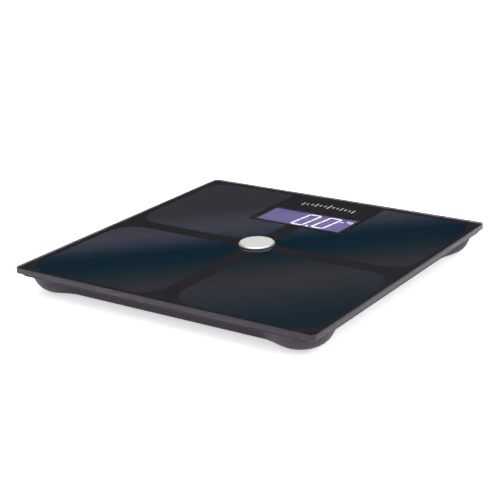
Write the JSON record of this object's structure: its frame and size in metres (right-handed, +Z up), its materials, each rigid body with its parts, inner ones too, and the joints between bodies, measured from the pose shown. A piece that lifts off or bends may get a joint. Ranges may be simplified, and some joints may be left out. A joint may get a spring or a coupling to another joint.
{
  "type": "digital bathroom scale",
  "caption": "Square black glass bathroom scale on a low moulded tray, with a backlit weight display and a raised metal foot button that drives a small generator.",
  "frame": {"origin": "on the floor, under the middle of the platform", "axes": "+Z up, +X to the user's right, +Y towards the display edge"},
  "size_m": [0.3, 0.3, 0.0272],
  "materials": {
    "clear_glass": "clear toughened glass with ground edges",
    "black_print": "black ceramic print seen through the glass",
    "tint_print": "print that fades between deep blue and anthracite",
    "white_print": "white print",
    "tape": "black foam tape",
    "tray_plastic": "fine-textured moulded plastic, mauve grey",
    "spring_steel": "bright steel",
    "satin_metal": "satin metal with a bright rim",
    "light_plastic": "natural white plastic",
    "dark_plastic": "black plastic",
    "foot_rubber": "soft dark rubber",
    "wire_cover": "coloured wire insulation",
    "display_frame": "dark violet frame",
    "display_glass": "violet backlit display",
    "display_light": "diffusing light guide",
    "digit_white": "lit white segments",
    "board_green": "solder mask",
    "pin_metal": "plated pins",
    "chip_black": "moulded chip body",
    "capacitor_sleeve": "shrink sleeve",
    "gear_plastic": "acetal",
    "pinion_brass": "turned brass",
    "winding": "enamelled windings",
    "magnet_grey": "sintered magnet"
  },
  "bodies": {
    "base": {"glass_platform": "clear_glass", "mask_print": "black_print", "tint_foil": "tint_print", "dial_mark": "white_print", "mounting_tape": "tape", "base_tray": "tray_plastic", "display_bezel": "display_frame", "lcd_panel": "display_glass", "digit_segments": "digit_white", "backlight": "display_light", "display_pins": "pin_metal", "main_board": "board_green", "controller_chip": "chip_black", "amplifier_chip": "chip_black", "rectifier": "chip_black", "storage_capacitors": "capacitor_sleeve", "switch_body": "dark_plastic", "power_leads": "wire_cover", "return_spring": "spring_steel", "generator_frame": "light_plastic", "generator_can": "spring_steel", "generator_end_cap": "dark_plastic", "generator_magnets": "magnet_grey", "board_screws": "spring_steel", "frame_screws": "spring_steel", "holder_screws": "spring_steel", "load_cell_front_left": "spring_steel", "cell_holder_front_left": "light_plastic", "cell_wires_front_left": "wire_cover", "load_cell_front_right": "spring_steel", "cell_holder_front_right": "light_plastic", "cell_wires_front_right": "wire_cover", "load_cell_back_left": "spring_steel", "cell_holder_back_left": "light_plastic", "cell_wires_back_left": "wire_cover", "load_cell_back_right": "spring_steel", "cell_holder_back_right": "light_plastic", "cell_wires_back_right": "wire_cover"},
    "foot_button": {"button_cap": "satin_metal", "button_carrier": "dark_plastic"},
    "first_gear_set": {"first_gear": "gear_plastic", "first_axle": "spring_steel"},
    "second_gear_set": {"second_gear": "gear_plastic", "second_axle": "spring_steel"},
    "rotor": {"rotor_shaft": "spring_steel", "rotor_pinion": "pinion_brass", "rotor_armature": "winding"},
    "unit_key": {"unit_button": "dark_plastic", "switch_plunger": "light_plastic"},
    "foot_front_left": {"foot_cap_front_left": "dark_plastic", "foot_pad_front_left": "foot_rubber"},
    "foot_front_right": {"foot_cap_front_right": "dark_plastic", "foot_pad_front_right": "foot_rubber"},
    "foot_back_left": {"foot_cap_back_left": "dark_plastic", "foot_pad_back_left": "foot_rubber"},
    "foot_back_right": {"foot_cap_back_right": "dark_plastic", "foot_pad_back_right": "foot_rubber"}
  },
  "joints": [
    {"name": "button_press", "type": "slide", "parent": "base", "child": "foot_button", "axis": [0, 0, -1], "range_m": [0, 0.0022], "stiffness_N_per_m": 900, "springref_m": -0.004, "deforming": ["return_spring"]},
    {"name": "first_gear_turn", "type": "hinge", "parent": "base", "child": "first_gear_set", "pos_m": [0, 0.0122, 0.013], "axis": [1, 0, 0], "continuous": true},
    {"name": "second_gear_turn", "type": "hinge", "parent": "base", "child": "second_gear_set", "pos_m": [0, 0.0197, 0.013], "axis": [1, 0, 0], "continuous": true},
    {"name": "rotor_turn", "type": "hinge", "parent": "base", "child": "rotor", "pos_m": [0, 0.0272, 0.013], "axis": [1, 0, 0], "continuous": true},
    {"name": "unit_key_press", "type": "slide", "parent": "base", "child": "unit_key", "axis": [0, 0, 1], "range_m": [0, 0.0005], "stiffness_N_per_m": 1200, "springref_m": -0.0005},
    {"name": "foot_front_left_give", "type": "slide", "parent": "base", "child": "foot_front_left", "axis": [0, 0, 1], "range_m": [0, 0.0004], "stiffness_N_per_m": 6000},
    {"name": "foot_front_right_give", "type": "slide", "parent": "base", "child": "foot_front_right", "axis": [0, 0, 1], "range_m": [0, 0.0004], "stiffness_N_per_m": 6000},
    {"name": "foot_back_left_give", "type": "slide", "parent": "base", "child": "foot_back_left", "axis": [0, 0, 1], "range_m": [0, 0.0004], "stiffness_N_per_m": 6000},
    {"name": "foot_back_right_give", "type": "slide", "parent": "base", "child": "foot_back_right", "axis": [0, 0, 1], "range_m": [0, 0.0004], "stiffness_N_per_m": 6000}
  ],
  "couplings": [
    {"joint": "first_gear_turn", "follows": "button_press", "rad_per_m": 333.33},
    {"joint": "second_gear_turn", "follows": "button_press", "rad_per_m": -708.33},
    {"joint": "rotor_turn", "follows": "button_press", "rad_per_m": 1505.2}
  ]
}
